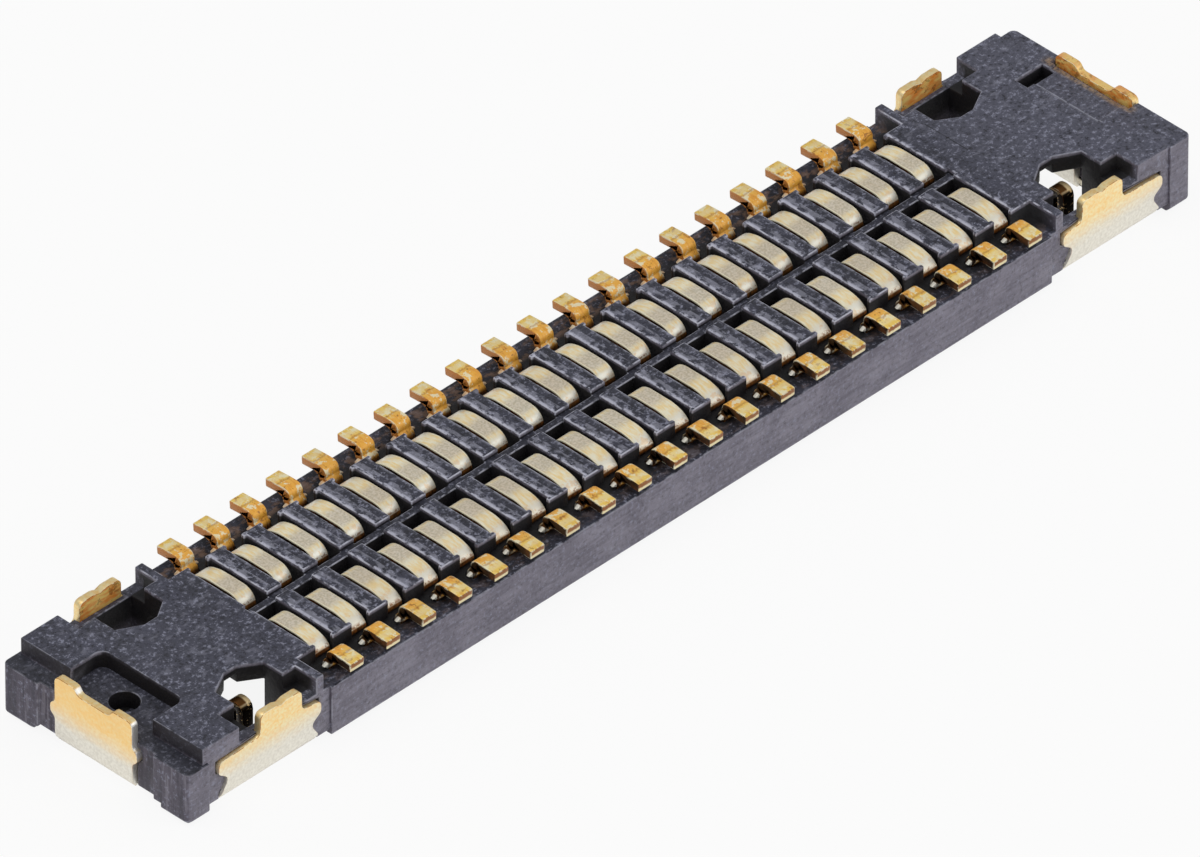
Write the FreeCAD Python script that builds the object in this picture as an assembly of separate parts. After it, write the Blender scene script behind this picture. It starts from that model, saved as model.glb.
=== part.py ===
import FreeCAD, Part
import math
import os

# Fine-pitch board-to-board receptacle, lying on its mating side with the solder tails up.
# All sizes in millimetres. X runs along the two contact rows, Y across them, Z up.
# Z = 0 is the plane of the four corner feet, and X = Y = 0 is the middle of the part.

# Contact field
pitch = 0.35
contacts_per_row = 20
strip_thickness = 0.07
contact_width = 0.147

# Housing body
end_block_length = 1.329
housing_width = 1.80
housing_height = 0.58
corner_radius = 0.05
foot_chamfer = 0.04
middle_rim_lift = 0.03
end_rim_lift = 0.07
foot_length = 0.21
foot_width = 0.27

# Shoulder below the mounting face, and the block that stands inside it
ledge_depth = 0.135
block_inset = 0.02
left_step_depth = 0.16
far_corner_length = 0.125
far_corner_drop = 0.056

# Mating groove and the island in it
floor_thickness = 0.15
groove_outer_width = 0.98
end_wall_thickness = 0.49
island_width = 0.49
island_end_wall = 0.025
island_drop = 0.065

# Slots between the bars of the floor
slot_width = 0.21
slot_outer_width = 0.164
slot_taper_length = 0.03
centre_rib_width = 0.063
channel_width = 0.074
channel_depth = 0.042
bar_reach = 0.62
tail_pocket_margin = 0.161
end_rib_width = 0.07

# Contact strip, seen in its own Y-Z section
tail_overhang = 0.04
solder_standoff = 0.01
riser_offset = 0.70
fixed_leg_offset = 0.545
spring_leg_offset = 0.142
arch_drop = 0.01
fold_recess = 0.015
tail_bend_radius = 0.06
fold_radius = 0.035
arch_inner_radius = 0.10
arch_outer_radius = 0.18
spring_knee_height = 0.32
bump_offset = 0.275
bump_height = 0.20
bump_radius = 0.05
tip_offset = 0.205
tip_height = 0.10
barb_reach = 0.04
barb_height = 0.045
contact_clearance = 0.005
bend_facets = (1, 1, 1, 3, 3, 1, 1)

# End fittings: stamped sheet folded over the mating rim
sheet = 0.06
sheet_bend_radius = 0.05
side_plate_proud = 0.005
side_recess_depth = 0.02
side_recess_overlap = 0.056
plate_start_gap = 0.049
plate_end_gap = 0.083
plate_shoulder_drop = 0.165
plate_shoulder_fall = 0.018
plate_lobe_drop = 0.28
plate_waist_drop = 0.35
plate_foot_drop = 0.46
plate_waist_depth = 0.10
plate_foot_setback = 0.03
tab_start = 0.186
tab_length = 0.40
tab_notch_width = 0.10
tab_notch_depth = 0.018
plate_round = 0.045
plate_round_facets = 3
fitting_clearance = 0.006
sheet_bend_facets = 3
end_plate_width = 0.75
end_plate_lobe = 0.045
end_plate_lobe_drop = 0.24
end_plate_lobe_height = 0.07
end_plate_proud = 0.015
end_plate_rise = 0.045
end_plate_dip = 0.055
end_plate_dip_width = 0.30
end_recess_depth = 0.03
end_recess_width = 1.12
inner_flap_width = 0.60
inner_flap_height = 0.15

# Power spring of the fitting, inside each window
power_spring_width = 0.105
power_spring_crest_drop = 0.175
power_spring_fold = 0.085
power_spring_inset = 0.35
power_spring_bump = 0.035
power_spring_tip_height = 0.19

# Windows and notches of the end blocks
notch_length = 0.742
notch_depth = 0.228
window_offset = 0.189
window_length = 0.465
window_inner = 0.385
window_outer_wall = 0.105
window_cut_near = 0.157
window_cut_far = 0.185
window_cut_depth = 0.10
window_lip = 0.07

# Marks on the two end blocks
recess_length = 0.305
recess_width = 0.79
recess_radius = 0.07
gate_hole_radius = 0.11
gate_hole_depth = 0.14
gate_hole_offset = 0.126
slot_mark_length = 0.266
slot_mark_width = 0.119
slot_mark_inset = 0.282
slot_mark_offset = 0.343
slot_mark_depth = 0.12
shallow_mark_length = 0.3525
shallow_mark_width = 0.65
shallow_mark_depth = 0.012
plate_relief_width = 0.04
plate_relief_depth = 0.05

# Heights and half sizes that follow
half_width = housing_width / 2
top_z = housing_height
ledge_z = top_z - ledge_depth
floor_z = top_z - floor_thickness
solder_z = top_z + solder_standoff
groove_half = groove_outer_width / 2
row_half = (contacts_per_row - 1) / 2 * pitch
pocket_half_length = row_half + slot_width / 2 + tail_pocket_margin
half_length = pocket_half_length + end_block_length
groove_half_length = half_length - end_wall_thickness
island_half_length = row_half + slot_width / 2 + island_end_wall
block_half_width = half_width - block_inset
tail_end = half_width + tail_overhang
rib_end = pocket_half_length + end_rib_width
notch_end = rib_end + notch_length
notch_inner = half_width - notch_depth
window_start = pocket_half_length + window_offset
window_outer = half_width - window_outer_wall
power_spring_position = window_start + window_length * 0.53
power_spring_root = half_width - power_spring_inset
left_step_x = left_step_depth - half_length
foot_start_x = half_length - foot_length
foot_start_y = half_width - foot_width
side_recess_start = pocket_half_length - side_recess_overlap
plate_start = pocket_half_length + plate_start_gap
plate_length = foot_start_x - plate_end_gap - plate_start
plate_outer_y = half_width + side_plate_proud
plate_end_x = half_length + end_plate_proud
band_z = end_rim_lift + sheet / 2
far_below = -1.0
far_above = 2.0
origin = FreeCAD.Vector(0, 0, 0)
X = FreeCAD.Vector(1, 0, 0)
Y = FreeCAD.Vector(0, 1, 0)
Z = FreeCAD.Vector(0, 0, 1)


def box(x0, x1, y0, y1, z0, z1):
    """A block between six planes."""
    return Part.makeBox(x1 - x0, y1 - y0, z1 - z0, FreeCAD.Vector(x0, y0, z0))


def on_xy(u, v):
    return FreeCAD.Vector(u, v, 0)


def on_yz(u, v):
    return FreeCAD.Vector(0, u, v)


def on_xz(u, v):
    return FreeCAD.Vector(u, 0, v)


def corner(before, point, after, radius):
    """Start, middle and end of the arc that rounds one corner, or the bare point."""
    ux, uy = point[0] - before[0], point[1] - before[1]
    vx, vy = after[0] - point[0], after[1] - point[1]
    ul, vl = math.hypot(ux, uy), math.hypot(vx, vy)
    ux, uy, vx, vy = ux / ul, uy / ul, vx / vl, vy / vl
    turn = math.atan2(ux * vy - uy * vx, ux * vx + uy * vy)
    if radius < 1e-4 or abs(turn) < 1e-4:
        return [point]
    reach = radius * math.tan(abs(turn) / 2)
    reach = min(reach, 0.49 * ul, 0.49 * vl)
    radius = reach / math.tan(abs(turn) / 2)
    start = (point[0] - ux * reach, point[1] - uy * reach)
    end = (point[0] + vx * reach, point[1] + vy * reach)
    bx, by = vx - ux, vy - uy
    bl = math.hypot(bx, by)
    sag = radius / math.cos(turn / 2) - radius
    middle = (point[0] + bx / bl * sag, point[1] + by / bl * sag)
    return [start, middle, end]


def facetted_face(points, radii, facets, plane):
    """A flat face whose rounded corners are drawn as that many flats, for forms that repeat."""
    count = len(points)
    outline = []
    for i in range(count):
        arc = corner(points[i - 1], points[i], points[(i + 1) % count], radii[i])
        if len(arc) == 1:
            outline.append(arc[0])
            continue
        curve = Part.Arc(*[on_xy(*p) for p in arc])
        for step in range(facets[i] + 1):
            along = curve.FirstParameter + (curve.LastParameter - curve.FirstParameter) * step / facets[i]
            point = curve.value(along)
            outline.append((point.x, point.y))
    corners = [plane(*p) for p in outline]
    return Part.Face(Part.makePolygon(corners + corners[:1]))


def rounded_face(points, radii, plane):
    """A flat face inside a closed outline whose corners are rounded."""
    count = len(points)
    arcs = [corner(points[i - 1], points[i], points[(i + 1) % count], radii[i]) for i in range(count)]
    edges = []
    for i, arc in enumerate(arcs):
        if len(arc) == 3:
            edges.append(Part.Arc(*[plane(*p) for p in arc]).toShape())
        start, end = plane(*arc[-1]), plane(*arcs[(i + 1) % count][0])
        if start.distanceToPoint(end) > 1e-6:
            edges.append(Part.makeLine(start, end))
    return Part.Face(Part.Wire(edges))


def offset_corners(path, distance):
    """Corner points of a path moved sideways, to its left for a positive distance."""
    lines = []
    for a, b in zip(path, path[1:]):
        dx, dy = b[0] - a[0], b[1] - a[1]
        length = math.hypot(dx, dy)
        nx, ny = -dy / length * distance, dx / length * distance
        lines.append(((a[0] + nx, a[1] + ny), (dx, dy)))
    points = [lines[0][0]]
    for (p, d), (q, e) in zip(lines, lines[1:]):
        cross = d[0] * e[1] - d[1] * e[0]
        t = ((q[0] - p[0]) * e[1] - (q[1] - p[1]) * e[0]) / cross
        points.append((p[0] + d[0] * t, p[1] + d[1] * t))
    last, direction = lines[-1]
    points.append((last[0] + direction[0], last[1] + direction[1]))
    return points


def bent_strip(path, radii, facets, thickness, plane):
    """The section of a sheet strip bent along a path; radii are those of its middle line."""
    half = thickness / 2
    left = offset_corners(path, half)
    right = offset_corners(path, -half)
    left_radii = [0.0]
    right_radii = [0.0]
    for a, b, c, radius in zip(path, path[1:], path[2:], radii):
        cross = (b[0] - a[0]) * (c[1] - b[1]) - (b[1] - a[1]) * (c[0] - b[0])
        side = half if cross > 0 else -half
        left_radii.append(max(radius - side, 0.0))
        right_radii.append(max(radius + side, 0.0))
    left_radii.append(0.0)
    right_radii.append(0.0)
    flats = [1] + list(facets) + [1]
    return facetted_face(left + right[::-1], left_radii + right_radii[::-1], flats + flats[::-1], plane)


def prism(face, along, start, length):
    """A face pushed along an axis, from a start position."""
    moved = face.copy()
    moved.translate(along * start)
    return moved.extrude(along * length)


def both_sides(shape):
    """A shape of the +Y side, with its mirror image on the -Y side."""
    return [shape, shape.mirror(origin, Y)]


def two_ends(shape):
    """A shape of the +X end, with its mirror image at the -X end."""
    return [shape, shape.mirror(origin, X)]


def four_ways(shape):
    """A shape of the +X +Y quarter, with its mirror images in the other three."""
    return two_ends(shape) + two_ends(shape.mirror(origin, Y))


# Contacts

def contact_path():
    """Middle line of the strip: solder tail, riser, rim fold, fixed leg, arch and spring leg."""
    half = strip_thickness / 2
    tail_z = solder_z - half
    fold_z = middle_rim_lift + fold_recess + half
    arch_z = top_z - arch_drop - half
    points = [
        (tail_end, tail_z),
        (riser_offset, tail_z),
        (riser_offset, fold_z),
        (fixed_leg_offset, fold_z),
        (fixed_leg_offset, arch_z),
        (spring_leg_offset, arch_z),
        (spring_leg_offset, spring_knee_height),
        (bump_offset, bump_height),
        (tip_offset, tip_height),
    ]
    radii = [
        tail_bend_radius, fold_radius, fold_radius, arch_outer_radius, arch_inner_radius, bump_radius, bump_radius,
    ]
    return points, radii


def make_contact():
    """One contact of the +Y row, centred on X = 0."""
    points, radii = contact_path()
    section = bent_strip(points, radii, bend_facets, strip_thickness, on_yz)
    strip = prism(section, X, -contact_width / 2, contact_width)
    half = contact_width / 2
    low = ledge_z + contact_clearance
    barb = rounded_face(
        [(-half, low), (half, low), (half + barb_reach, low + barb_height / 2),
         (half, low + barb_height), (-half, low + barb_height), (-half - barb_reach, low + barb_height / 2)],
        [0.0] * 6, on_xz)
    start = riser_offset - strip_thickness / 2
    return strip.fuse(prism(barb, Y, start, strip_thickness)).removeSplitter()


def contact_positions():
    return [-row_half + i * pitch for i in range(contacts_per_row)]


# End fittings, drawn for the +X end

def side_plate_outline(grow, outward):
    """X-Z outline of a side plate, its outward corners of that radius: tab, lobes, waist and foot."""
    x0 = plate_start - grow
    x1 = plate_start + plate_length + grow
    waist = plate_waist_depth + 2 * grow
    foot = plate_foot_setback
    tab0 = plate_start + tab_start - grow
    tab1 = plate_start + tab_start + tab_length + grow
    crest = solder_z + grow
    shoulder = top_z - plate_shoulder_drop + grow
    tip = shoulder - plate_shoulder_fall
    lobe = top_z - plate_lobe_drop
    waist_z = top_z - plate_waist_drop
    foot_z = top_z - plate_foot_drop
    middle = (tab0 + tab1) / 2
    notch = tab_notch_width / 2
    points = [
        (x0 + foot, far_below), (x0 + foot, foot_z), (x0 + waist, waist_z), (x0, lobe), (x0, tip),
        (tab0, shoulder), (tab0, crest), (middle - notch, crest), (middle, crest - tab_notch_depth),
        (middle + notch, crest), (tab1, crest), (tab1, shoulder),
        (x1, tip), (x1, lobe), (x1 - waist, waist_z), (x1 - foot, foot_z), (x1 - foot, far_below),
    ]
    r = plate_round
    half = [0.0, 0.0, r, outward, outward, r, outward, 0.0]
    return facetted_face(points, half + [0.0] + half[::-1], [plate_round_facets] * len(points), on_xz)


def end_plate_outline(grow, outward):
    """Y-Z outline of the end plate, its outward corners of that radius: lobes, humps and dip."""
    half = end_plate_width / 2 + grow
    lobe = half + end_plate_lobe
    lobe_z = top_z - end_plate_lobe_drop
    wing = end_plate_lobe_height / 2
    hump = top_z + end_plate_rise + grow
    dip = hump - end_plate_dip
    d0 = end_plate_dip_width / 2
    side = [
        (half, far_below), (half, lobe_z - 2 * wing), (lobe, lobe_z - wing), (lobe, lobe_z + wing),
        (half, lobe_z + 2 * wing), (half, hump), (d0 + wing, hump), (d0, dip),
    ]
    r = plate_round
    side_radii = [0.0, r, outward, outward, r, outward, outward, r]
    points = side + [(-y, z) for y, z in side[::-1]]
    return facetted_face(points, side_radii + side_radii[::-1], [plate_round_facets] * len(points), on_yz)


def band_outline(grow):
    """Plan of the flat band that the fitting lays over the mating rim."""
    x0 = plate_start + plate_foot_setback - grow
    x1 = plate_start + plate_length - plate_foot_setback + grow
    inner = groove_half - grow
    corner_x = foot_start_x - fitting_clearance + grow
    corner_y = foot_start_y - fitting_clearance + grow
    end_y = end_plate_width / 2 + grow
    end_x = plate_end_x - sheet / 2
    side_y = plate_outer_y - sheet / 2
    end_in = groove_half_length - grow
    half = [
        (end_x, end_y), (corner_x, end_y), (corner_x, corner_y), (x1, corner_y), (x1, side_y),
        (x0, side_y), (x0, inner), (end_in, inner),
    ]
    points = half + [(x, -y) for x, y in half[::-1]]
    return rounded_face(points, [0.0] * len(points), on_xy)


def side_plate():
    """The +Y side plate with its bend and its share of the rim."""
    middle = plate_outer_y - sheet / 2
    path = [(middle - 2 * sheet_bend_radius, band_z), (middle, band_z), (middle, far_above)]
    section = bent_strip(path, [sheet_bend_radius], [sheet_bend_facets], sheet, on_yz)
    sheet_body = prism(section, X, plate_start - sheet, plate_length + 2 * sheet)
    return sheet_body.common(prism(side_plate_outline(0.0, plate_round), Y, 0, plate_outer_y + sheet))


def end_plate():
    """The plate on the outer face of the end wall."""
    middle = plate_end_x - sheet / 2
    path = [(middle - 2 * sheet_bend_radius, band_z), (middle, band_z), (middle, far_above)]
    section = bent_strip(path, [sheet_bend_radius], [sheet_bend_facets], sheet, on_xz)
    reach = end_plate_width / 2 + end_plate_lobe + sheet
    sheet_body = prism(section, Y, -reach, 2 * reach)
    return sheet_body.common(prism(end_plate_outline(0.0, plate_round), X, 0, plate_end_x + sheet))


def inner_flap():
    """The flap that lines the inner face of the end wall."""
    middle = groove_half_length - sheet / 2
    path = [(middle + 2 * sheet_bend_radius, band_z), (middle, band_z), (middle, band_z + inner_flap_height)]
    section = bent_strip(path, [sheet_bend_radius], [sheet_bend_facets], sheet, on_xz)
    return prism(section, Y, -inner_flap_width / 2, inner_flap_width)


def power_spring():
    """The narrow spring that rises in the window of the +Y side and folds back down."""
    crest_z = top_z - power_spring_crest_drop - sheet / 2
    inner = power_spring_root - power_spring_fold
    path = [
        (power_spring_root + 2 * sheet_bend_radius, band_z), (power_spring_root, band_z),
        (power_spring_root, crest_z), (inner, crest_z),
        (inner - power_spring_bump, (crest_z + power_spring_tip_height) / 2),
        (inner, power_spring_tip_height),
    ]
    fold = power_spring_fold * 0.49
    radii = [sheet_bend_radius, fold, fold, sheet_bend_radius]
    section = bent_strip(path, radii, [sheet_bend_facets] * len(radii), sheet, on_yz)
    return prism(section, X, power_spring_position - power_spring_width / 2, power_spring_width)


def spring_relief():
    """Plan gap in the rim band beside the power spring's root."""
    root = power_spring_root + sheet / 2 + sheet_bend_radius
    return box(window_start, window_start + window_length, 0, root, far_below, far_above)


def make_fitting():
    """One stamped end fitting at the +X end."""
    band = prism(band_outline(0.0), Z, end_rim_lift, sheet)
    band = band.cut(both_sides(spring_relief()))
    pieces = [end_plate(), inner_flap()] + both_sides(side_plate()) + both_sides(power_spring())
    return band.fuse(pieces).removeSplitter()


# Housing

def housing_blank():
    """Outer walls and the raised block, before anything is cut."""
    walls = box(-half_length, half_length, -half_width, half_width, 0, ledge_z)
    upright = [e for e in walls.Edges if abs(e.Vertexes[0].Z - e.Vertexes[1].Z) > ledge_z / 2]
    walls = walls.makeFillet(corner_radius, upright)
    bottom = [e for e in walls.Edges if max(v.Z for v in e.Vertexes) < 1e-6]
    walls = walls.makeChamfer(foot_chamfer, bottom)
    return walls.fuse(prism(block_outline(), Z, floor_z, top_z - floor_z)).removeSplitter()


def block_outline():
    """Plan of the raised block: bars' field, end ribs, fitting notches and end pads."""
    w = block_half_width
    field = [
        (pocket_half_length, bar_reach), (pocket_half_length, w), (rib_end, w), (rib_end, notch_inner),
        (notch_end, notch_inner), (notch_end, w),
    ]
    side = [(left_step_x, w)] + [(-x, y) for x, y in field[::-1]] + field
    far_start = half_length - far_corner_length
    far_y = w - far_corner_drop
    far = [(far_start, w), (far_start, far_y), (half_length, far_y)]
    near = [(half_length, -half_width), (foot_start_x, -half_width), (foot_start_x, -w)]
    points = side + far + near + [(x, -y) for x, y in side[::-1]]
    radii = [0.0] * len(side) + [0.0, 0.0, corner_radius, corner_radius, 0.0, 0.0] + [0.0] * len(side)
    return rounded_face(points, radii, on_xy)


def mating_groove():
    """The groove that takes the plug, around the island."""
    groove = box(-groove_half_length, groove_half_length, -groove_half, groove_half, far_below, floor_z)
    half = island_width / 2
    island = box(-island_half_length, island_half_length, -half, half, island_drop, floor_z)
    return groove.cut(island)


def rim_cuts():
    """Steps of the mating rim, which leave the four corner feet lowest."""
    low, high = far_below, end_rim_lift
    cuts = [box(-side_recess_start, side_recess_start, -half_width, half_width, low, middle_rim_lift)]
    cuts += two_ends(box(side_recess_start, foot_start_x, -half_width, half_width, low, high))
    cuts += two_ends(box(foot_start_x, half_length, -foot_start_y, foot_start_y, low, high))
    return cuts


def contact_cutter():
    """Everything that one contact of the +Y row needs cut from the housing."""
    half = slot_width / 2
    outer = slot_outer_width / 2
    leg = contact_width / 2 + contact_clearance
    thickness = strip_thickness / 2 + contact_clearance
    deep_end = fixed_leg_offset + thickness
    taper_end = bar_reach - slot_taper_length
    slot = rounded_face(
        [(-half, centre_rib_width / 2), (half, centre_rib_width / 2), (half, deep_end),
         (outer, taper_end), (outer, half_width), (-outer, half_width), (-outer, taper_end), (-half, deep_end)],
        [0.0] * 8, on_xy)
    fold_top = middle_rim_lift + fold_recess + strip_thickness + contact_clearance
    return [
        prism(slot, Z, ledge_z, far_above),
        box(-half, half, centre_rib_width / 2, groove_half, far_below, ledge_z),
        box(-leg, leg, groove_half - contact_clearance, deep_end, far_below, ledge_z),
        box(-leg, leg, riser_offset - thickness, riser_offset + thickness, far_below, ledge_z),
        box(-leg, leg, groove_half - contact_clearance, riser_offset + thickness, far_below, fold_top),
    ]


def contact_cutters():
    """The cutters of both rows."""
    pieces = [half for piece in contact_cutter() for half in both_sides(piece)]
    cutters = []
    for x in contact_positions():
        for piece in pieces:
            placed = piece.copy()
            placed.translate(FreeCAD.Vector(x, 0, 0))
            cutters.append(placed)
    return cutters


def window_cutters():
    """The four windows, with the undercut of their inner edge."""
    x0, x1 = window_start, window_start + window_length
    near, far = window_cut_near, window_cut_far
    depth = window_cut_depth
    plan = rounded_face(
        [(x0, window_outer), (x0, window_inner + depth), (x0 + near, window_inner),
         (x1 - far, window_inner), (x1, window_inner + depth), (x1, window_outer)],
        [0.0] * 6, on_xy)
    lip_z = top_z - window_lip
    run = lip_z - floor_z
    under = rounded_face(
        [(window_inner, lip_z), (window_inner - run, floor_z), (window_inner, floor_z)], [0.0] * 3, on_yz)
    lip = prism(under, X, x0 + near, x1 - far - x0 - near)
    return four_ways(prism(plan, Z, far_below, far_above - far_below)) + four_ways(lip)


def fitting_cutters():
    """Seats of the two fittings in the rim and in the outer faces."""
    g = fitting_clearance
    recess_y = half_width - side_recess_depth
    side = box(side_recess_start, foot_start_x, recess_y, half_width + g, far_below, ledge_z)
    plate_y = plate_outer_y - sheet - g
    seat = prism(side_plate_outline(g, 0.0), Y, plate_y, half_width + g - plate_y)
    end = box(half_length - end_recess_depth, half_length + g, -end_recess_width / 2, end_recess_width / 2,
              far_below, ledge_z)
    plate_x = plate_end_x - sheet - g
    end_seat = prism(end_plate_outline(g, 0.0), X, plate_x, half_length + g - plate_x)
    band = prism(band_outline(g), Z, far_below, end_rim_lift + sheet + g - far_below)
    flap_x = groove_half_length
    flap = box(flap_x - g, flap_x + sheet_bend_radius, -inner_flap_width / 2 - g, inner_flap_width / 2 + g,
               far_below, band_z + sheet_bend_radius)
    cuts = four_ways(side) + four_ways(seat)
    for shape in (end, end_seat, band, flap):
        cuts += two_ends(shape)
    return cuts


def left_marks():
    """Open recess at the stepped end, with the round gate mark in its floor."""
    outer = left_step_x
    inner = outer + recess_length
    half = recess_width / 2
    plan = rounded_face(
        [(outer - left_step_depth, -half), (inner, -half), (inner, half), (outer - left_step_depth, half)],
        [0.0, recess_radius, recess_radius, 0.0], on_xy)
    gate = Part.makeCylinder(
        gate_hole_radius, far_above, FreeCAD.Vector(outer + gate_hole_offset, 0, ledge_z - gate_hole_depth))
    return [prism(plan, Z, ledge_z, far_above), gate]


def right_marks():
    """Slot, shallow pad and the relief beside the end plate, on the plain end."""
    middle = half_length - slot_mark_inset
    half = slot_mark_length / 2
    slot = box(middle - half, middle + half, slot_mark_offset - slot_mark_width / 2,
               slot_mark_offset + slot_mark_width / 2, top_z - slot_mark_depth, far_above)
    shallow = box(half_length - shallow_mark_length, half_length, -shallow_mark_width / 2,
                  shallow_mark_width / 2, top_z - shallow_mark_depth, far_above)
    reach = end_plate_width / 2 + fitting_clearance
    seat = plate_end_x - sheet - fitting_clearance
    relief = box(seat - plate_relief_width, half_length, -reach, reach, top_z - plate_relief_depth, far_above)
    return [slot, shallow, relief]


def make_housing():
    """The moulded housing."""
    body = housing_blank()
    body = body.cut([mating_groove()] + rim_cuts())
    body = body.cut(fitting_cutters())
    body = body.cut(window_cutters())
    body = body.cut(contact_cutters())
    channel = box(-island_half_length, island_half_length, -channel_width / 2, channel_width / 2,
                  top_z - channel_depth, far_above)
    body = body.cut([channel] + left_marks() + right_marks())
    return body.removeSplitter()


def write(shape, name):
    shape.exportStep(os.path.join("parts", name + ".step"))


def main():
    os.makedirs("parts", exist_ok=True)
    write(make_housing(), "housing")
    fitting = make_fitting()
    for shape, side in zip(two_ends(fitting), ("right", "left")):
        write(shape, "end_fitting_" + side)
    contact = make_contact()
    turned = contact.copy()
    turned.rotate(origin, Z, 180)
    for row, master in (("far", contact), ("near", turned)):
        for number, x in enumerate(contact_positions(), 1):
            placed = master.copy()
            placed.translate(FreeCAD.Vector(x, 0, 0))
            write(placed, "contact_%s_%02d" % (row, number))


main()
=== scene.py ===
import bpy
import bmesh
import math
from mathutils import Matrix, Vector
from mathutils.bvhtree import BVHTree


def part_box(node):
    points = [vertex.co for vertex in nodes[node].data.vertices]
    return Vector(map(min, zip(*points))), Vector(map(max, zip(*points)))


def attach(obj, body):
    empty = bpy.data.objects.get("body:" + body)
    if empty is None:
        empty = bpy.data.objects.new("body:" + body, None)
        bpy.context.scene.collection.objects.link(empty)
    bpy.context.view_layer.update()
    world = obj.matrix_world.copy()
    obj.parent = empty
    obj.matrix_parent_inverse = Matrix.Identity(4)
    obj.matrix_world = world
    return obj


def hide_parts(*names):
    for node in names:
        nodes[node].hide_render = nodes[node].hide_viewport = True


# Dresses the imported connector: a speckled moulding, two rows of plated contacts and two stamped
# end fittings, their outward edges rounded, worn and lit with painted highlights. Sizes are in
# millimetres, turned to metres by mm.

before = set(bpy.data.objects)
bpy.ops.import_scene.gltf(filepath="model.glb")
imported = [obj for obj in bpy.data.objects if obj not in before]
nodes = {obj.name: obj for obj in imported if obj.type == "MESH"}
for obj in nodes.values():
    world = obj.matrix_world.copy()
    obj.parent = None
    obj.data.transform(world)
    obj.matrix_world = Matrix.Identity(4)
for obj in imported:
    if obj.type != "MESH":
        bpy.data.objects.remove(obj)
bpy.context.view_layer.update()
mm = 0.001

# Contact field, read from the frame
contacts_per_row = sum(name.startswith("contact_far_") for name in nodes)
first_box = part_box("contact_far_01")
last_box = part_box("contact_far_%02d" % contacts_per_row)
row_start = (first_box[0].x + first_box[1].x) / 2 / mm
row_end = (last_box[0].x + last_box[1].x) / 2 / mm
pitch = (row_end - row_start) / (contacts_per_row - 1)
contact_top = first_box[1].z / mm
tail_reach = first_box[1].y / mm

# Contact strip
strip_thickness = 0.07
contact_width = 0.147
riser_offset = 0.70
fixed_leg_offset = 0.545
riser = ((0.735, 0.553), (0.735, 0.50), (0.70, 0.455))
tail_narrowing = 0.92
tail_crest, tail_droop = 0.80, 0.008
tail_end = tail_reach - 0.002
shoulder = ((0.545, 0.44), (0.577, 0.472), (0.535, 0.510), (0.45, 0.535))
spring_leg_offset = 0.142
fold_bottom = 0.045
arch_top = 0.57
spring_knee_height = 0.32
bump_place = (0.275, 0.20)
tip_place = (0.205, 0.10)
bend_radii = (0.3, 0.06, 0.05, 0.05, 0.05, 0.05, 0.05, 0.05, 0.3, 0.3, 0.10, 0.05, 0.05)
bend_steps = 8
barb_reach = 0.04
barb_low, barb_high = 0.45, 0.488
strip_edge = 0.009
strip_play = 0.002
strip_seed = 7

# Rounded edges, which the paints show worn and lit with painted highlights
housing_edge = 0.008
fitting_edge = 0.008
edge_angle = math.radians(42)
shading_angle = math.radians(38)
flat_angle = math.radians(1)
merge_distance = 0.0004
cut_distance = 0.0001

# Places on the moulding that its finish follows, most of them as a pair of from and to
field_end = 3.6
wall_inside, wall_outside = 0.80, 0.885
ledge_side = (0.70, 0.87)
bar_side = (0.06, 0.61)
pocket_rim = (0.566, 0.545)
pocket_floor = (0.16, 0.30)
channel_side = (0.042, 0.036)
left_face = (-4.84, -4.88)
left_edge, right_edge = (-4.72, -4.76), (4.78, 4.81)
recess_end = (-4.40, -4.46)
recess_side = (0.41, 0.38)
recess_level = (0.43, 0.44)
low_step_end, low_step_level = (-4.70, -4.74), (0.52, 0.49)
step_wall_place, step_wall_foot = (-4.86, -4.40), (0.44, 0.47)
dark_seam_across, dark_seam_along = (3.697, 3.706), (0.08, 0.50)
pale_seam_across, pale_seam_along = (4.579, 4.589), (-0.36, 0.31)
seam_blur = 0.004
smudge_across, smudge_side = (4.79, 4.86), (0.46, 0.38)

# Places on the contacts
crown_side, crown_height = (0.18, 0.38), (0.555, 0.568)
turned_height = (0.560, 0.535)
arch_end = (0.62, 0.60)
arch_foot = (0.485, 0.50)
long_edge_side = (0.060, 0.072)
barb_side = (0.072, 0.078)
tail_start = (0.62, 0.66)
tail_height = (0.45, 0.50)
coined_line, coined_land = (0.815, 0.830), (0.85, 0.90)
tail_face = (0.925, 0.935)

# Places on the end fittings
gold_height = (0.20, 0.46)
plate_inside = (4.6, 4.7)
plate_top = (4.84, 4.87)
plate_outside = (4.90, 4.92)
side_plate = (0.80, 0.84)
spring_side, spring_end = (0.66, 0.64), (4.2, 4.15)
spring_foot, spring_crest = (0.12, 0.16), (0.375, 0.395)
crest_waves = 40.0

# Camera of the photograph
camera_distance = 257.05
camera_azimuth = math.radians(-45.37)
camera_elevation = math.radians(38.01)
camera_lens = 1120.0
camera_sensor = 36.0
camera_near, camera_far = 10.0, 10000.0
camera_aim = (0.0, -0.077, 0.58)
aim_right = -0.068
aim_up = -0.244

# Floor, surroundings and lamps: name, direction, distance, size, irradiance
floor_reach = 400.0
floor_white = 0.9
studio_light = 0.5
lamps = (
    ("key", (-0.25, 0.2, 1.0), 120.0, 70.0, 0.48),
    ("fill", (0.5, -0.85, 0.55), 140.0, 80.0, 0.52),
    ("side", (-1.0, -0.3, 0.5), 140.0, 80.0, 0.16),
)


def metres(*values):
    return Vector(v * mm for v in values)


# Shader building

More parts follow.
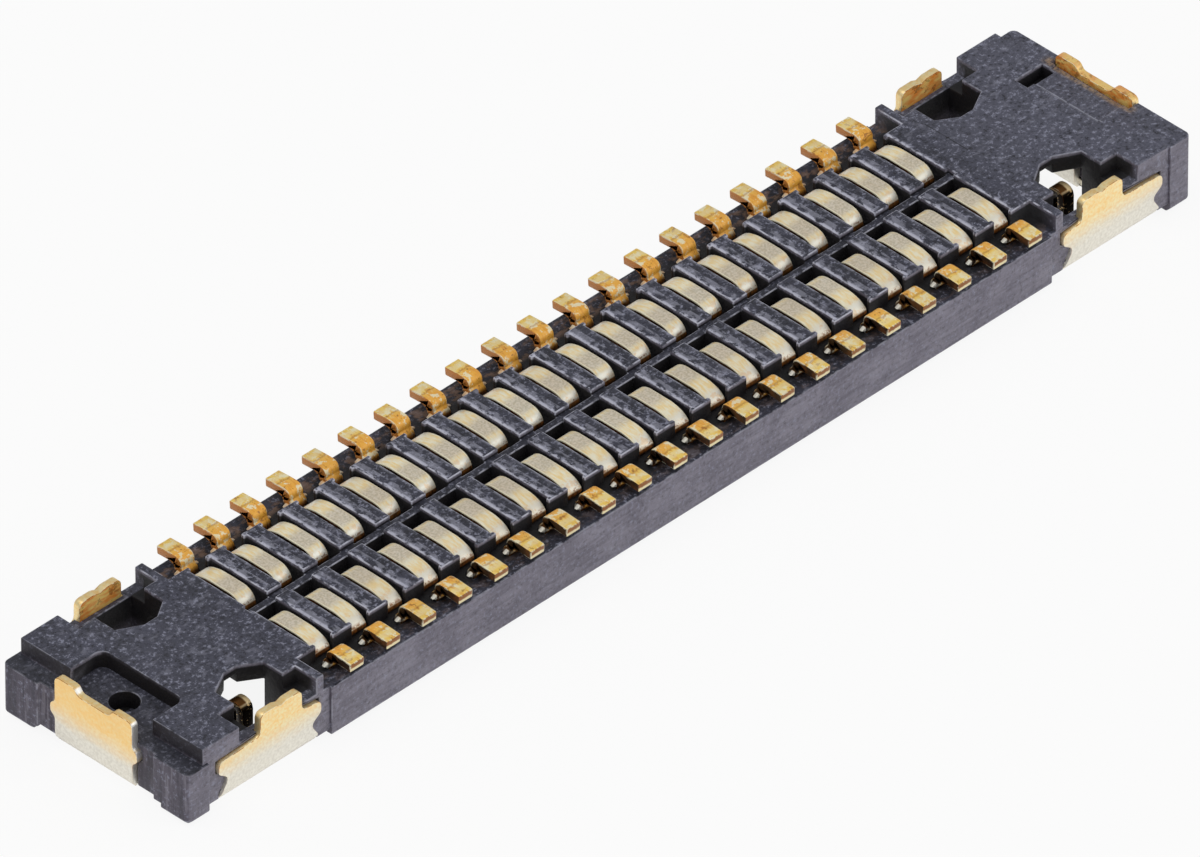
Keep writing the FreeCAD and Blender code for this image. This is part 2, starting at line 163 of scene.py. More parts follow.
class Value:
    """A number socket; Python operators on it add Math nodes."""

    def __init__(self, paint, socket):
        self.paint = paint
        self.socket = socket

    def math(self, operation, *others):
        node = self.paint.node("ShaderNodeMath", {"operation": operation},
                               dict(enumerate((self,) + others)))
        return Value(self.paint, node.outputs[0])

    def __add__(self, other):
        return self.math("ADD", other)

    def __mul__(self, other):
        return self.math("MULTIPLY", other)

    def __sub__(self, other):
        return self.math("SUBTRACT", other)

    def __rsub__(self, other):
        return (self * -1.0).math("ADD", other)

    def __abs__(self):
        return self.math("ABSOLUTE")

    __radd__ = __add__
    __rmul__ = __mul__

    def ramp(self, low, high):
        """0 below low and 1 above high, smooth between; the other way round if low is larger."""
        node = self.paint.node(
            "ShaderNodeMapRange", {"interpolation_type": "SMOOTHSTEP"},
            {"Value": self, "From Min": min(low, high), "From Max": max(low, high)})
        rise = Value(self.paint, node.outputs[0])
        return rise if low < high else 1.0 - rise

    def band(self, low, high, soft):
        """1 between low and high, 0 outside, with soft shoulders."""
        return self.ramp(low - soft, low + soft) * self.ramp(high + soft, high - soft)


class Paint:
    """One procedural material."""

    def __init__(self, name):
        self.material = bpy.data.materials.new(name)
        self.material.use_nodes = True
        self.tree = self.material.node_tree
        self.tree.nodes.clear()

    def node(self, kind, settings=None, sockets=None):
        """A node of that kind, its settings first, then the values or links of its sockets."""
        node = self.tree.nodes.new(kind)
        for key, value in (settings or {}).items():
            setattr(node, key, value)
        by_identifier = {s.identifier: s for s in node.inputs}
        for key, value in (sockets or {}).items():
            socket = by_identifier.get(key) or node.inputs[key]
            if isinstance(value, Value):
                value = value.socket
            if isinstance(value, bpy.types.NodeSocket):
                self.tree.links.new(value, socket)
            else:
                socket.default_value = value
        return node

    def place(self):
        """Object coordinates in millimetres, as a vector socket."""
        coordinates = self.node("ShaderNodeTexCoord")
        scaled = self.node("ShaderNodeVectorMath", {"operation": "SCALE"},
                           {0: coordinates.outputs["Object"], "Scale": 1 / mm})
        return scaled.outputs[0]

    def split(self, vector):
        """The three numbers of a vector."""
        node = self.node("ShaderNodeSeparateXYZ", sockets={0: vector})
        return [Value(self, out) for out in node.outputs]

    def from_contact(self, x):
        """Distance along the row from the middle of the nearest contact, below zero towards -X."""
        phase = ((x - row_start) * (1 / pitch) + (contacts_per_row + 0.5)).math("FRACT")
        return (phase - 0.5) * pitch

    def facing(self):
        """The surface's own direction, as three numbers."""
        return self.split(self.node("ShaderNodeNewGeometry").outputs["Normal"])

    def noise(self, place, scale, detail=3.0, roughness=0.55, stretch=None):
        if stretch:
            place = self.node("ShaderNodeVectorMath", {"operation": "MULTIPLY"},
                              {0: place, 1: stretch}).outputs[0]
        node = self.node("ShaderNodeTexNoise", sockets={
            "Vector": place, "Scale": scale, "Detail": detail, "Roughness": roughness})
        return Value(self, node.outputs[0])

    def attribute(self, name):
        node = self.node("ShaderNodeAttribute", {"attribute_name": name})
        return Value(self, node.outputs["Fac"])

    def mix(self, factor, first, second):
        """A colour between two colours."""
        node = self.node("ShaderNodeMix", {"data_type": "RGBA"},
                         {"Factor_Float": factor, "A_Color": first, "B_Color": second})
        return node.outputs[2]

    def over(self, base, *coats):
        """A colour with coats laid over it in order, each given by its share and its colour."""
        for share, coat in coats:
            base = self.mix(share, base, coat)
        return base

    def bump(self, height, distance, strength=1.0):
        node = self.node("ShaderNodeBump", sockets={
            "Height": height, "Distance": distance * mm, "Strength": strength})
        return node.outputs[0]

    def surface(self, base, roughness, metallic=0.0, normal=None, specular=0.5):
        sockets = {"Base Color": base, "Roughness": roughness, "Metallic": metallic,
                   "Specular IOR Level": specular}
        if normal is not None:
            sockets["Normal"] = normal
        shader = self.node("ShaderNodeBsdfPrincipled", sockets=sockets)
        self.node("ShaderNodeOutputMaterial", sockets={0: shader.outputs[0]})
        return self.material


def colour(red, green, blue):
    """A colour written as 0-255 display values."""
    def linear(v):
        v /= 255
        return v / 12.92 if v <= 0.04045 else ((v + 0.055) / 1.055) ** 2.4
    return (linear(red), linear(green), linear(blue), 1.0)


def housing_paint():
    """Dark glass-filled moulding: mottled, with painted light: paler outer walls, painted shade in
    its pockets, edges painted worn and highlighted.
    """
    paint = Paint("moulding")
    place = paint.place()
    x, y, z = paint.split(place)
    facing_x, _, facing_z = paint.facing()
    along, out = abs(x), abs(y)
    across = paint.from_contact(x)
    upward = facing_z.ramp(0.3, 0.8)
    to_left = facing_x.ramp(-0.5, -0.8)
    in_field = along.ramp(field_end + 0.02, field_end - 0.04)

    mottle = paint.noise(place, 5.0, 5.0, 0.62)
    grain = paint.noise(place, 30.0, 4.0, 0.72)
    blotch = paint.noise(place, 11.0, 4.0, 0.65, stretch=(0.8, 1.3, 1.0))
    brush = paint.noise(place, 12.0, 4.0, 0.7, stretch=(0.22, 0.22, 2.6))
    bar_highlight_noise = paint.noise(place, 17.0, 3.0, 0.7, stretch=(1.0, 0.6, 1.0))
    chip = paint.noise(place, 13.0, 3.0)
    drawn = paint.noise(place, 7.0, 3.0, 0.6, stretch=(1.0, 2.6, 0.25))

    # The moulding's colour, with painted light: darker on top than on the outer walls, painted
    # shade on the walls facing -X
    ends = (along.ramp(3.2, 3.9) + x.ramp(3.2, 4.2)) * 0.3
    top = paint.mix(mottle.ramp(0.3, 0.7), colour(42, 43, 54), colour(64, 65, 80))
    top = paint.mix(ends, top, colour(99, 100, 116))
    side = paint.mix(mottle.ramp(0.3, 0.7), colour(122, 118, 131), colour(146, 142, 155))
    side = paint.over(side, (to_left, colour(98, 93, 106)),
                      (brush.ramp(0.40, 0.65) * 0.4, colour(90, 86, 98)))
    base = paint.over(paint.mix(upward, side, top),
                      (grain.ramp(0.47, 0.34) * (upward * 0.4 + 0.4), colour(26, 26, 35)),
                      (grain.ramp(0.54, 0.64) * 0.65, colour(156, 158, 178)),
                      (blotch.ramp(0.54, 0.68) * upward * 0.35, colour(146, 147, 164)))

    # Painted highlights along the sides of the bars, and edges painted with chips and highlights
    bars = along.ramp(row_end + 0.15, row_end + 0.10) * out.band(*bar_side, 0.01) * upward
    bar_edge_highlight = across.ramp(0.135, 0.115) * across.ramp(0.095, 0.105) + across.ramp(-0.135, -0.115) * 0.4
    bar_edge_highlight = bar_edge_highlight * bars * bar_highlight_noise.ramp(0.42, 0.56)
    edge_chips_and_highlight = paint.attribute("edge_wear_and_highlight") * chip.ramp(0.38, 0.58)
    edge_chips_and_highlight = edge_chips_and_highlight * (along.ramp(field_end + 0.2, field_end) * 0.5 + 0.35)
    edge_chips_and_highlight = edge_chips_and_highlight * (1.0 - out.ramp(wall_inside, 0.86) * 0.6)
    base = paint.over(base, (bar_edge_highlight * 0.85, colour(186, 187, 204)), (edge_chips_and_highlight, colour(206, 207, 222)))

    # Painted shade, near black, in the pockets: all that lies below the top, short of the outer
    # edges and the middle channel; less of it on the left recess floor, and painted shade on the
    # step wall
    wall_top = out.ramp(0.79, 0.80) * along.ramp(field_end, field_end + 0.02) * upward
    edge = out.ramp(wall_inside, wall_outside)
    ledge = out.ramp(*ledge_side) * in_field
    for part in (x.ramp(*left_edge), x.ramp(*right_edge), wall_top, ledge):
        edge = edge.math("MAXIMUM", part)
    channel = out.ramp(*channel_side) * upward * 0.75
    pocket_shade = z.ramp(*pocket_rim) * z.ramp(*pocket_floor) * (1.0 - edge) * (1.0 - channel)
    tray = upward * x.ramp(*recess_end) * out.ramp(*recess_side) * z.ramp(*recess_level)
    step_wall = to_left * x.band(*step_wall_place, 0.01) * z.ramp(*step_wall_foot)
    base = paint.over(base, (pocket_shade * (0.96 - tray * 0.68), colour(12, 10, 13)),
                      (step_wall * 0.8, colour(20, 17, 22)))

    # Painted gold reflection of the tails on the ledges, drawn marks on the left end's face, its
    # low step darker
    glow = upward * out.ramp(0.70, 0.78) * out.ramp(wall_outside, 0.86) * in_field
    glow = glow * (y.ramp(0.0, 0.1) * 0.35 + 0.15) * blotch.ramp(0.47, 0.60)
    end_wall = to_left * x.ramp(*left_face)
    low_step = upward * z.ramp(*low_step_level) * x.ramp(*low_step_end) * z.ramp(*recess_level)
    base = paint.over(base, (glow, colour(142, 110, 84)),
                      (end_wall * drawn.ramp(0.50, 0.62) * 0.55, colour(54, 52, 62)),
                      (end_wall * drawn.ramp(0.44, 0.36) * 0.45, colour(150, 146, 158)),
                      (low_step * 0.5, colour(26, 26, 32)))

    # Dark and pale seams on the right end block, the tan smudge beside its plate
    dark_seam = x.band(*dark_seam_across, seam_blur) * y.band(*dark_seam_along, 0.01)
    dark_seam = dark_seam * upward * blotch.ramp(0.36, 0.48)
    pale_seam = x.band(*pale_seam_across, seam_blur) * y.band(*pale_seam_along, 0.01)
    pale_seam = pale_seam * upward * blotch.ramp(0.36, 0.50)
    smudge = x.band(*smudge_across, 0.02) * out.ramp(*smudge_side) * upward
    base = paint.over(base, (dark_seam * 0.8, colour(20, 20, 26)),
                      (pale_seam * 0.6, colour(176, 178, 192)),
                      (smudge * grain.ramp(0.35, 0.55) * 0.6, colour(176, 142, 96)))

    bump = paint.bump(grain * 0.5 + blotch * 0.5, 0.014, 0.8)
    return paint.surface(base, 0.5 + grain * 0.2, normal=bump, specular=0.4)


def contact_paint():
    """Gold over copper alloy: matte grey-cream crown, painted highlights on the turned ends,
    orange-gold tails with painted shade and highlights.
    """
    paint = Paint("contact_plating")
    place = paint.place()
    x, y, z = paint.split(place)
    facing_x, facing_y, facing_z = paint.facing()
    out = abs(y)
    across = abs(paint.from_contact(x))
    upward = facing_z.ramp(0.5, 0.8)
    flank = abs(facing_x).ramp(0.6, 0.9)
    edge_wear_and_highlight = paint.attribute("edge_wear_and_highlight")

    streak = paint.noise(place, 16.0, 4.0, 0.6, stretch=(3.0, 0.7, 1.0))
    grain = paint.noise(place, 60.0, 2.0)
    patch = paint.noise(place, 9.0, 3.0)
    blot = paint.noise(place, 15.0, 3.0, 0.7)

    # Parts of the strip
    tail = out.ramp(*tail_start) * z.ramp(*tail_height)
    arch = out.ramp(*arch_end) * z.ramp(*arch_foot)
    crown = out.band(*crown_side, 0.05) * z.ramp(*crown_height)
    turned_end_highlight = z.ramp(*turned_height) * arch

    # Painted shade: the leg, dark brown; on the tails' gold, brown blots of painted shade and pale
    # blots of painted highlight
    leg = paint.mix(streak.ramp(0.3, 0.7), colour(58, 32, 12), colour(150, 92, 36))
    front = (out + (streak - 0.5) * 0.1).ramp(0.76, 0.86)
    gold = paint.over(paint.mix(front, colour(255, 188, 74), colour(255, 218, 108)),
                      (streak.ramp(0.50, 0.38) * 0.4, colour(226, 140, 40)),
                      (blot.ramp(0.40, 0.33) * 0.7, colour(150, 84, 24)),
                      (blot.ramp(0.52, 0.61) * 0.85, colour(255, 250, 214)))
    cream = paint.mix(streak.ramp(0.35, 0.65), colour(255, 226, 160), colour(255, 250, 224))
    matte = paint.mix(grain.ramp(0.35, 0.65), colour(196, 187, 166), colour(226, 216, 200))
    base = paint.over(paint.mix(tail, leg, gold), (arch, cream), (crown * 0.9, matte),
                      (turned_end_highlight * 0.9, colour(255, 254, 242)))

    # Copper that shows through on the arch in patches and along its long edges; painted shade on
    # its lower ends and on the leg under it
    bare = z.ramp(0.563, 0.550) * arch * blot.ramp(0.52, 0.62)
    long_edge = arch * across.ramp(*long_edge_side) * blot.ramp(0.40, 0.56)
    lower_end = z.ramp(0.52, 0.50) * arch * blot.ramp(0.50, 0.44)
    below_arch = z.ramp(0.475, 0.45) * out.ramp(*arch_end)
    base = paint.over(base, (bare * 0.4, colour(250, 194, 116)),
                      (long_edge * 0.7, colour(214, 146, 66)),
                      (lower_end * 0.8, colour(150, 90, 36)), (below_arch, colour(36, 20, 8)))

    # Sheared flanks in painted shade, lighter orange on the far row's tails; on the coined bands a
    # painted shade line and a painted highlight; painted shade on the tail's cut end, with a
    # painted highlight on its lip, and on the strip's underside
    flank_shade = paint.mix(patch.ramp(0.45, 0.6), colour(40, 21, 7), colour(92, 52, 18))
    coined = out + (streak - 0.5) * 0.05
    underside = facing_z.ramp(-0.3, -0.8) * z.ramp(0.3, 0.4)
    cut_end = abs(facing_y).ramp(0.7, 0.9) * out.ramp(*tail_face)
    lip = cut_end * (z + (streak - 0.5) * 0.02).ramp(0.548, 0.535)
    base = paint.over(base, (flank, flank_shade),
                      (flank * tail * y.ramp(0.5, 0.6), colour(206, 130, 50)),
                      (coined.band(*coined_line, 0.010) * upward * 0.6, colour(176, 106, 30)),
                      (coined.band(*coined_land, 0.012) * upward * 0.5, colour(255, 240, 190)),
                      (underside, colour(54, 30, 10)), (cut_end, colour(150, 90, 32)),
                      (lip, colour(255, 240, 190)))

    # Painted highlights on the barbs, edges painted worn and highlighted, and each contact's own
    # tone
    barb = across.ramp(*barb_side) * z.ramp(0.52, 0.51)
    bright = arch * 0.85 + tail * streak.ramp(0.47, 0.6) * 0.7 * (1.0 - arch)
    base = paint.over(base, (barb * (1.0 - y.ramp(0.0, 0.1) * 0.7), colour(255, 252, 240)),
                      (edge_wear_and_highlight * bright, colour(255, 250, 220)),
                      (paint.attribute("tone") * 0.12, colour(168, 128, 74)))

    rough = 0.38 + crown * 0.2 + grain * 0.1 - edge_wear_and_highlight * 0.1
    bump = paint.bump(streak, 0.003, 0.5)
    return paint.surface(base, rough, metallic=0.12 + turned_end_highlight * 0.25, normal=bump)


def fitting_paint():
    """Stamped sheet: pale gold near the solder edge, silver-white lower down, painted orange sheen
    on faces in grazing light, painted shade in the power springs, cream cut edges painted as
    highlights.
    """
    paint = Paint("fitting_plating")
    place = paint.place()
    x, y, z = paint.split(place)
    facing_x, facing_y, facing_z = paint.facing()
    along, out = abs(x), abs(y)
    edge_wear_and_highlight = paint.attribute("edge_wear_and_highlight")

    streak = paint.noise(place, 9.0, 4.0, 0.6, stretch=(1.0, 1.0, 3.0))
    grain = paint.noise(place, 42.0, 3.0)
    crack = paint.noise(place, 15.0, 3.0, 0.7).ramp(0.44, 0.36)
    glint = paint.noise(place, 24.0, 2.0, stretch=(1.0, 1.0, 2.0)).ramp(0.60, 0.68)
    flaw = paint.noise(place, 17.0, 2.0).ramp(0.46, 0.56)

    # Silver low down, gold above, more orange on the left end plate
    rise = (z + (streak - 0.5) * 0.10).ramp(*gold_height)
    silver = paint.mix(grain.ramp(0.3, 0.7), colour(226, 221, 208), colour(244, 240, 228))
    gold = paint.mix(grain.ramp(0.3, 0.7), colour(255, 220, 150), colour(255, 240, 192))
    gold = paint.mix(streak.ramp(0.45, 0.65) * 0.35, gold, colour(255, 200, 116))
    left_plate = along.ramp(*plate_outside) * x.ramp(0.0, -1.0)
    base = paint.over(paint.mix(rise, silver, gold),
                      (left_plate * rise * 0.5, colour(252, 206, 128)))

    # Gold faces seen in grazing light, painted brighter orange as their sheen, with dark cracks:
    # inside the right end plate, on its top, inside the far side plates
    inner = x.ramp(*plate_inside) * facing_x.ramp(-0.4, -0.7)
    for part in (y.ramp(*side_plate) * facing_y.ramp(-0.4, -0.7),
                 x.ramp(*plate_top) * facing_z.ramp(0.4, 0.7) * 0.8):
        inner = inner.math("MAXIMUM", part)
    orange = paint.mix(streak.ramp(0.35, 0.65), colour(244, 144, 44), colour(255, 218, 126))
    base = paint.over(base, (inner * 0.95, orange), (inner * crack * 0.6, colour(130, 70, 20)))

    # Power springs: painted shade, nearly black, with painted glints; their crests painted with
    # lines of gold highlight and shade
    spring = out.ramp(*spring_side) * z.ramp(*spring_foot) * along.ramp(*spring_end)
    crest = z.ramp(*spring_crest)
    dark = paint.mix(glint, colour(30, 20, 10), colour(240, 206, 150))
    line = (paint.from_contact(x) * crest_waves).math("SINE").ramp(0.2, 0.8)
    lined = paint.mix(line, colour(96, 62, 26), colour(255, 228, 176))
    base = paint.over(base, (spring * (1.0 - crest), dark), (spring * crest, lined))

    # Cut edges painted with highlights and flaws, and the bright sheared end of the left plate
    rim = paint.mix(flaw, colour(176, 102, 30), colour(255, 244, 210))
    sheared_end = facing_y.ramp(-0.5, -0.8) * x.ramp(*left_face) * z.ramp(0.30, 0.36)
    base = paint.over(base, (edge_wear_and_highlight * (0.35 + rise * 0.65) * (1.0 - spring * 0.6), rim),
                      (sheared_end, colour(244, 242, 236)))

    bump = paint.bump(grain * 0.5 + streak * 0.5, 0.002, 0.25)
    return paint.surface(base, 0.36 + grain * 0.14, metallic=0.85 - inner * 0.75, normal=bump)


# Pieces

def surface_of(mesh):
    """The surface of a mesh, to look up nearest points on."""
    return BVHTree.FromPolygons(
        [v.co for v in mesh.vertices], [list(f.vertices) for f in mesh.polygons])


def as_plain_mesh(piece, name):
    """Turns a piece and its modifiers into one plain mesh of that name."""
    bpy.context.view_layer.update()
    graph = bpy.context.evaluated_depsgraph_get()
    mesh = bpy.data.meshes.new_from_object(
        piece.evaluated_get(graph), preserve_all_data_layers=True, depsgraph=graph)
    piece.modifiers.clear()
    spent, piece.data = piece.data, mesh
    bpy.data.meshes.remove(spent)
    piece.name = mesh.name = name
    return mesh


def worn_copy(node, name, width, material, clamp=False):
    """A copy of a CAD node with rounded edges, the roundings marked for painted wear and
    highlights.
    """
    piece = nodes[node].copy()
    piece.data = nodes[node].data.copy()
    piece.name = name
    for key in list(piece.keys()):
        del piece[key]
    piece.parent = None
    bpy.context.scene.collection.objects.link(piece)
    shape = bmesh.new()
    shape.from_mesh(piece.data)
    bmesh.ops.remove_doubles(shape, verts=shape.verts, dist=merge_distance * mm)
    bmesh.ops.dissolve_limit(
        shape, angle_limit=flat_angle, verts=shape.verts, edges=shape.edges)
    # Long flat faces are cut once a pitch, which keeps their triangles clean
    for i in range(contacts_per_row + 1):
        bmesh.ops.bisect_plane(
            shape, geom=shape.verts[:] + shape.edges[:] + shape.faces[:], dist=cut_distance * mm,
            plane_co=metres(row_start + (i - 0.5) * pitch, 0, 0), plane_no=(1, 0, 0))
    shape.to_mesh(piece.data)
    shape.free()
    return finish_edges(piece, name, width, material, clamp)


def mark_outward_edges(mesh):
    """Gives a bevel weight to each sharp edge that points out of the solid."""
    shape = bmesh.new()
    shape.from_mesh(mesh)
    weight = shape.edges.layers.float.new("bevel_weight_edge")
    for edge in shape.edges:
        if edge.is_manifold and edge.calc_face_angle_signed() > edge_angle:
            edge[weight] = 1.0
    shape.to_mesh(mesh)
    shape.free()


def finish_edges(piece, name, width, material, clamp=False):
    """Rounds the sharp edges of a piece, marks the roundings and gives it its material."""
    piece.data.materials.clear()
    piece.data.materials.append(material)
    piece.data.materials.append(material)
    bevel = piece.modifiers.new("rounding", "BEVEL")
    bevel.width = width * mm
    bevel.segments = 2
    bevel.limit_method = "WEIGHT"
    bevel.use_clamp_overlap = clamp
    bevel.material = 1
    mark_outward_edges(piece.data)
    before = surface_of(piece.data)
    mesh = as_plain_mesh(piece, name)
    for vertex in mesh.vertices:
        near, _, _, gap = before.find_nearest(vertex.co)
        if gap > width * mm:
            vertex.co = near
    edge_wear_and_highlight = mesh.attributes.new("edge_wear_and_highlight", "FLOAT", "FACE")
    for face, mark in zip(mesh.polygons, edge_wear_and_highlight.data):
        mark.value = float(face.material_index == 1)
        face.material_index = 0
    mesh.materials.clear()
    mesh.materials.append(material)
    mesh.shade_smooth()
    mesh.set_sharp_from_angle(angle=shading_angle)
    return piece


def strip_outline():
    """Closed Y-Z outline of one contact, its bends rounded."""
    half = strip_thickness / 2
    tail_z = contact_top - half
    path = [
        (tail_end, tail_z - tail_droop), (tail_crest, tail_z), *riser,
        (riser_offset, fold_bottom + half), (fixed_leg_offset, fold_bottom + half), *shoulder,
        (spring_leg_offset, arch_top - half), (spring_leg_offset, spring_knee_height),
        bump_place, tip_place,
    ]
    middle = [Vector(path[0])]
    for before, point, after, radius in zip(path, path[1:], path[2:], bend_radii):
        corner = Vector(point)
        back, ahead = Vector(before) - corner, Vector(after) - corner
        turn = math.pi - back.angle(ahead)
        reach = min(radius * math.tan(turn / 2), 0.49 * back.length, 0.49 * ahead.length)
        start, end = corner + back.normalized() * reach, corner + ahead.normalized() * reach
        for i in range(bend_steps + 1):
            t = i / bend_steps
            middle.append(start * (1 - t) ** 2 + corner * 2 * t * (1 - t) + end * t ** 2)
    middle.append(Vector(path[-1]))
    sides = ([], [])
    for i, point in enumerate(middle):
        along = (middle[min(i + 1, len(middle) - 1)] - middle[max(i - 1, 0)]).normalized()
        normal = Vector((-along.y, along.x)) * half
        sides[0].append(point + normal)
        sides[1].append(point - normal)
    return sides


def width_share(point):
    """The solder tail is a little narrower than the rest of the strip."""
    in_tail = point.x > riser_offset - strip_thickness and point.y > barb_high
    return tail_narrowing if in_tail else 1.0


def make_strip(material):
    """One contact of the +Y row, centred on X = 0."""
    left, right = strip_outline()
    shape = bmesh.new()
    rows = []
    for x in (-contact_width / 2, contact_width / 2):
        rows.append([[shape.verts.new(metres(x * width_share(p), p.x, p.y)) for p in side]
                     for side in (left, right)])
    (low_l, low_r), (high_l, high_r) = rows
    for i in range(len(left) - 1):
        shape.faces.new((low_l[i], low_l[i + 1], high_l[i + 1], high_l[i]))
        shape.faces.new((low_r[i + 1], low_r[i], high_r[i], high_r[i + 1]))
        shape.faces.new((low_l[i + 1], low_l[i], low_r[i], low_r[i + 1]))
        shape.faces.new((high_l[i], high_l[i + 1], high_r[i + 1], high_r[i]))
    for i in (0, -1):
        shape.faces.new((low_l[i], high_l[i], high_r[i], low_r[i]))
    root, tip = 0.9 * contact_width / 2, contact_width / 2 + barb_reach
    corners = [(root, barb_low), (contact_width / 2, barb_low), (tip, (barb_low + barb_high) / 2),
               (contact_width / 2, barb_high), (root, barb_high)]
    for side in (-1, 1):
        ends = [[shape.verts.new(metres(side * across, y, z)) for across, z in corners]
                for y in (riser_offset, riser_offset + strip_thickness / 2)]
        shape.faces.new(ends[0])
        shape.faces.new(ends[1][::-1])
        for i in range(len(corners)):
            shape.faces.new((ends[0][i - 1], ends[0][i], ends[1][i], ends[1][i - 1]))
    bmesh.ops.recalc_face_normals(shape, faces=shape.faces)
    mesh = bpy.data.meshes.new("contact_strip")
    shape.to_mesh(mesh)
    shape.free()
    strip = bpy.data.objects.new("contact_strip", mesh)
    bpy.context.scene.collection.objects.link(strip)
    return finish_edges(strip, "contact_strip", strip_edge, material)


def add_node(tree, kind, settings=None, sockets=None):
    """A geometry node with its settings, then the values or links of its sockets."""
    node = tree.nodes.new(kind)
    for key, value in (settings or {}).items():
        setattr(node, key, value)
    for key, value in (sockets or {}).items():
        if isinstance(value, bpy.types.NodeSocket):
            tree.links.new(value, node.inputs[key])
        else:
            node.inputs[key].default_value = value
    return node


def row_tree():
    """Repeats a strip along two rows, the second turned half round."""
    tree = bpy.data.node_groups.new("contact_rows", "GeometryNodeTree")
    inputs = {}
    kinds = {"Strip": "Geometry", "Count": "Int", "Start": "Float", "Pitch": "Float",
             "Play": "Float", "Seed": "Int", "Plating": "Material"}
    for name, kind in kinds.items():
        inputs[name] = tree.interface.new_socket(
            name, in_out="INPUT", socket_type="NodeSocket" + kind)
    tree.interface.new_socket("Rows", in_out="OUTPUT", socket_type="NodeSocketGeometry")
    given = tree.nodes.new("NodeGroupInput").outputs
    start = add_node(tree, "ShaderNodeCombineXYZ", sockets={"X": given["Start"]})
    step = add_node(tree, "ShaderNodeCombineXYZ", sockets={"X": given["Pitch"]})
    line = add_node(tree, "GeometryNodeMeshLine", {"mode": "OFFSET"}, {
        "Count": given["Count"], "Start Location": start.outputs[0], "Offset": step.outputs[0]})
    joined = tree.nodes.new("GeometryNodeJoinGeometry")
    index = tree.nodes.new("GeometryNodeInputIndex")
    back = add_node(tree, "ShaderNodeMath", {"operation": "MULTIPLY"}, {0: given["Play"], 1: -1.0})
    low = add_node(tree, "ShaderNodeCombineXYZ", sockets={"X": back.outputs[0]})
    high = add_node(tree, "ShaderNodeCombineXYZ", sockets={"X": given["Play"]})
    for row, turn in enumerate((0.0, math.pi)):
        seed = add_node(tree, "ShaderNodeMath", {"operation": "ADD"},
                        {0: given["Seed"], 1: float(row)})
        placed = add_node(tree, "GeometryNodeInstanceOnPoints", sockets={
            "Points": line.outputs[0], "Instance": given["Strip"], "Rotation": (0.0, 0.0, turn)})
        shift = add_node(tree, "FunctionNodeRandomValue", {"data_type": "FLOAT_VECTOR"}, {
            "Min": low.outputs[0], "Max": high.outputs[0],
            "ID": index.outputs[0], "Seed": seed.outputs[0]})
        moved = add_node(tree, "GeometryNodeTranslateInstances", sockets={
            "Instances": placed.outputs[0], "Translation": shift.outputs[0], "Local Space": False})
        tone = add_node(tree, "FunctionNodeRandomValue", {"data_type": "FLOAT"}, {
            "ID": index.outputs[0], "Seed": seed.outputs[0]})
        stored = add_node(
            tree, "GeometryNodeStoreNamedAttribute", {"data_type": "FLOAT", "domain": "INSTANCE"},
            {"Geometry": moved.outputs[0], "Name": "tone", "Value": tone.outputs[1]})
        tree.links.new(stored.outputs[0], joined.inputs[0])
    real = add_node(tree, "GeometryNodeRealizeInstances", sockets={"Geometry": joined.outputs[0]})
    dressed = add_node(tree, "GeometryNodeSetMaterial", sockets={
        "Geometry": real.outputs[0], "Material": given["Plating"]})
    add_node(tree, "NodeGroupOutput", sockets={0: dressed.outputs[0]})
    return tree, inputs


def contact_rows(material):
    """Both rows of contacts as one mesh."""
    strip = make_strip(material)
    tree, inputs = row_tree()
    rows = strip.modifiers.new("rows", "NODES")
    rows.node_group = tree
    settings = {"Count": contacts_per_row, "Start": row_start * mm, "Pitch": pitch * mm,
                "Play": strip_play * mm, "Seed": strip_seed, "Plating": material}
    for name, value in settings.items():
        rows[inputs[name].identifier] = value
    as_plain_mesh(strip, "contact_rows")
    return strip


def white_to_camera(paint, shader, share):
    """White for camera and mirror rays by that share, the plain shader otherwise."""
    path = paint.node("ShaderNodeLightPath").outputs
    seen = Value(paint, path["Is Camera Ray"]) + Value(paint, path["Is Glossy Ray"])
    seen = (seen + Value(paint, path["Is Transmission Ray"])).math("MINIMUM", 1.0)
    glow = paint.node("ShaderNodeEmission", sockets={"Color": (1, 1, 1, 1), "Strength": 1.0})
    mixed = paint.node("ShaderNodeMixShader", sockets={
        0: seen * share, 1: shader.outputs[0], 2: glow.outputs[0]})
    paint.node("ShaderNodeOutputMaterial", sockets={0: mixed.outputs[0]})


def make_floor():
    """A plain pale floor under the feet."""
    reach = floor_reach * mm
    corners = [(-reach, -reach, 0), (reach, -reach, 0), (reach, reach, 0), (-reach, reach, 0)]
    mesh = bpy.data.meshes.new("floor")
    mesh.from_pydata(corners, [], [(0, 1, 2, 3)])
    floor = bpy.data.objects.new("floor", mesh)
    bpy.context.scene.collection.objects.link(floor)
    paint = Paint("floor")
    pale = (floor_white, floor_white, floor_white, 1)
    plain = paint.node("ShaderNodeBsdfDiffuse", sockets={"Color": pale})
    white_to_camera(paint, plain, floor_white)
    mesh.materials.append(paint.material)


def make_world():
    """Soft studio light from all sides; the background shows white."""
    world = bpy.data.worlds.new("studio")
    bpy.context.scene.world = world
    world.use_nodes = True
    tree = world.node_tree
    tree.nodes.clear()
    light = add_node(tree, "ShaderNodeBackground", sockets={
        "Color": (1, 1, 1, 1), "Strength": studio_light})
    white = add_node(tree, "ShaderNodeBackground", sockets={
        "Color": (1, 1, 1, 1), "Strength": 1.0})
    path = tree.nodes.new("ShaderNodeLightPath")
    mixed = add_node(tree, "ShaderNodeMixShader", sockets={
        0: path.outputs["Is Camera Ray"], 1: light.outputs[0], 2: white.outputs[0]})
    add_node(tree, "ShaderNodeOutputWorld", sockets={0: mixed.outputs[0]})


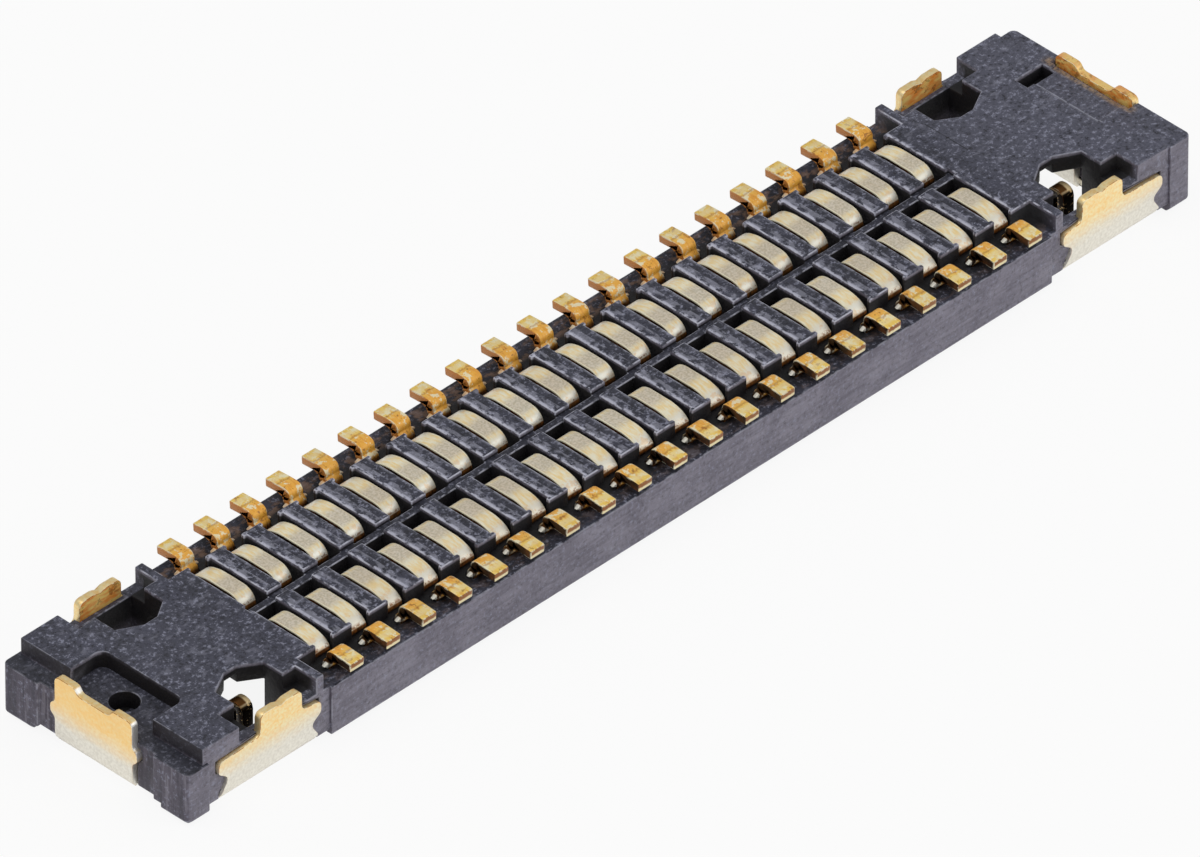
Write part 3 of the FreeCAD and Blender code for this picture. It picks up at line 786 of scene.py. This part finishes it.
def make_lamp(name, direction, distance, size, irradiance):
    """A square soft lamp that gives that irradiance at the part."""
    data = bpy.data.lights.new(name, "AREA")
    data.shape = "SQUARE"
    data.size = size * mm
    data.energy = irradiance * math.pi * (distance * mm) ** 2
    lamp = bpy.data.objects.new(name, data)
    lamp.visible_camera = False
    bpy.context.scene.collection.objects.link(lamp)
    place = Vector(direction).normalized() * distance * mm
    turn = place.to_track_quat("Z", "Y").to_matrix().to_4x4()
    lamp.matrix_world = Matrix.Translation(place) @ turn


def make_camera():
    """The photograph's viewpoint."""
    level = math.cos(camera_elevation)
    back = Vector((math.sin(camera_azimuth) * level, -math.cos(camera_azimuth) * level,
                   math.sin(camera_elevation)))
    right = Vector((-back.y, back.x, 0)).normalized()
    up = back.cross(right)
    target = metres(*camera_aim) + right * aim_right * mm + up * aim_up * mm
    data = bpy.data.cameras.new("camera")
    data.sensor_width = camera_sensor
    data.lens = camera_lens
    data.clip_start = camera_near * mm
    data.clip_end = camera_far * mm
    camera = bpy.data.objects.new("camera", data)
    bpy.context.scene.collection.objects.link(camera)
    turn = Matrix((right, up, back)).transposed().to_4x4()
    camera.matrix_world = Matrix.Translation(target + back * camera_distance * mm) @ turn
    bpy.context.scene.camera = camera


def main():
    moulding, plating, sheet = housing_paint(), contact_paint(), fitting_paint()
    contacts = [name for name in nodes if name.startswith("contact_")]
    dressed = (
        (worn_copy("housing", "moulded_housing", housing_edge, moulding),
         ["housing"], "housing"),
        (worn_copy("end_fitting_left", "stamped_fitting_left", fitting_edge, sheet, clamp=True),
         ["end_fitting_left"], "fitting"),
        (worn_copy("end_fitting_right", "stamped_fitting_right", fitting_edge, sheet, clamp=True),
         ["end_fitting_right"], "fitting"),
        (contact_rows(plating), contacts, "contact"),
    )
    for piece, stood_for, slot in dressed:
        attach(piece, "root")
        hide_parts(*stood_for)
    make_floor()
    make_world()
    for lamp in lamps:
        make_lamp(*lamp)
    make_camera()
    bpy.context.scene.view_settings.view_transform = "Standard"


main()
